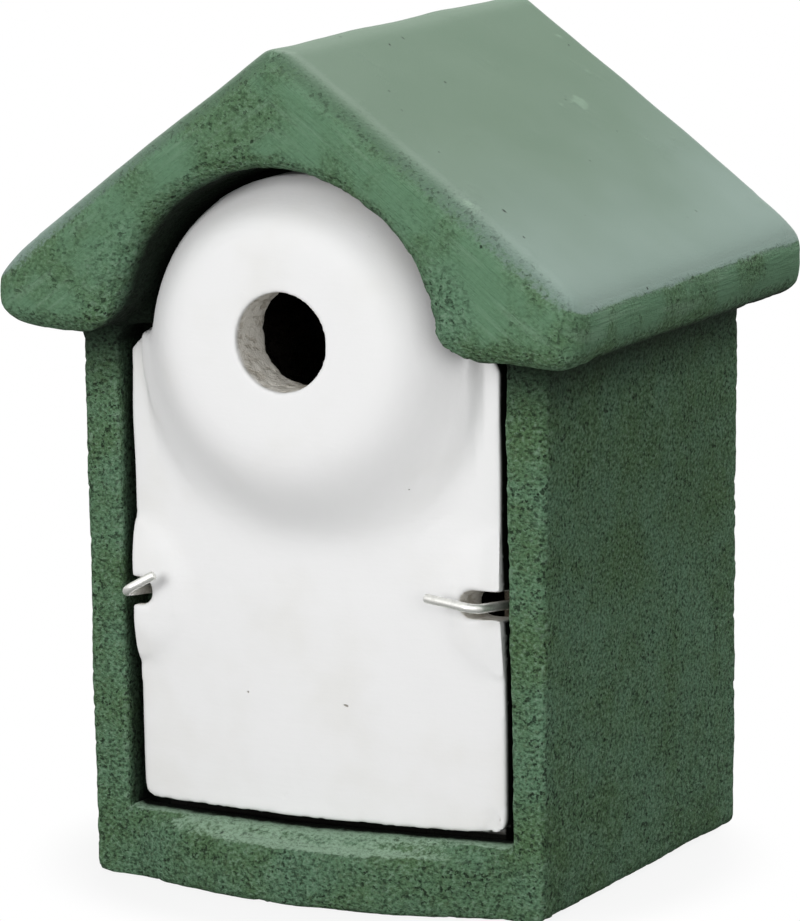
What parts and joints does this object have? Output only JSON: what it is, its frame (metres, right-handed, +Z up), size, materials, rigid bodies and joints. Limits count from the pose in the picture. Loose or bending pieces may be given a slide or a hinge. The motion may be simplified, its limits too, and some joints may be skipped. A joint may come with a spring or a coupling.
{
  "type": "woodcrete nest box",
  "caption": "Small-bird nest box: green cast body with gable roof, white lift-out front panel with round entrance boss, wire hooks and keyhole hanger",
  "frame": {"origin": "middle of the box's footprint at the level of its base", "axes": "+Z up, -Y towards the entrance front, +X to the viewer's right from the front"},
  "size_m": [0.204, 0.183, 0.2782],
  "materials": {
    "body_green": "green paint on porous wood-fibre concrete, matte",
    "panel_white": "off-white painted wood-fibre concrete, smooth and matte",
    "wire_zinc": "galvanised wire",
    "plate_zinc": "galvanised sheet",
    "screw_zinc": "zinc plated"
  },
  "bodies": {
    "box": {"body_casting": "body_green", "front_panel": "panel_white", "hanger_plate": "plate_zinc", "hanger_screw_left": "screw_zinc", "hanger_screw_right": "screw_zinc"},
    "left_hook": {"hook_left": "wire_zinc"},
    "right_hook": {"hook_right": "wire_zinc"}
  },
  "joints": [
    {"name": "left_hook_swivel", "type": "hinge", "parent": "box", "child": "left_hook", "pos_m": [-0.0643, -0.0669, 0.0962], "axis": [0, -0.9925, 0.1219], "range_deg": [-32, 148]},
    {"name": "right_hook_swivel", "type": "hinge", "parent": "box", "child": "right_hook", "pos_m": [0.0643, -0.0669, 0.1022], "axis": [0, 0.9925, -0.1219], "range_deg": [-5, 175]}
  ]
}
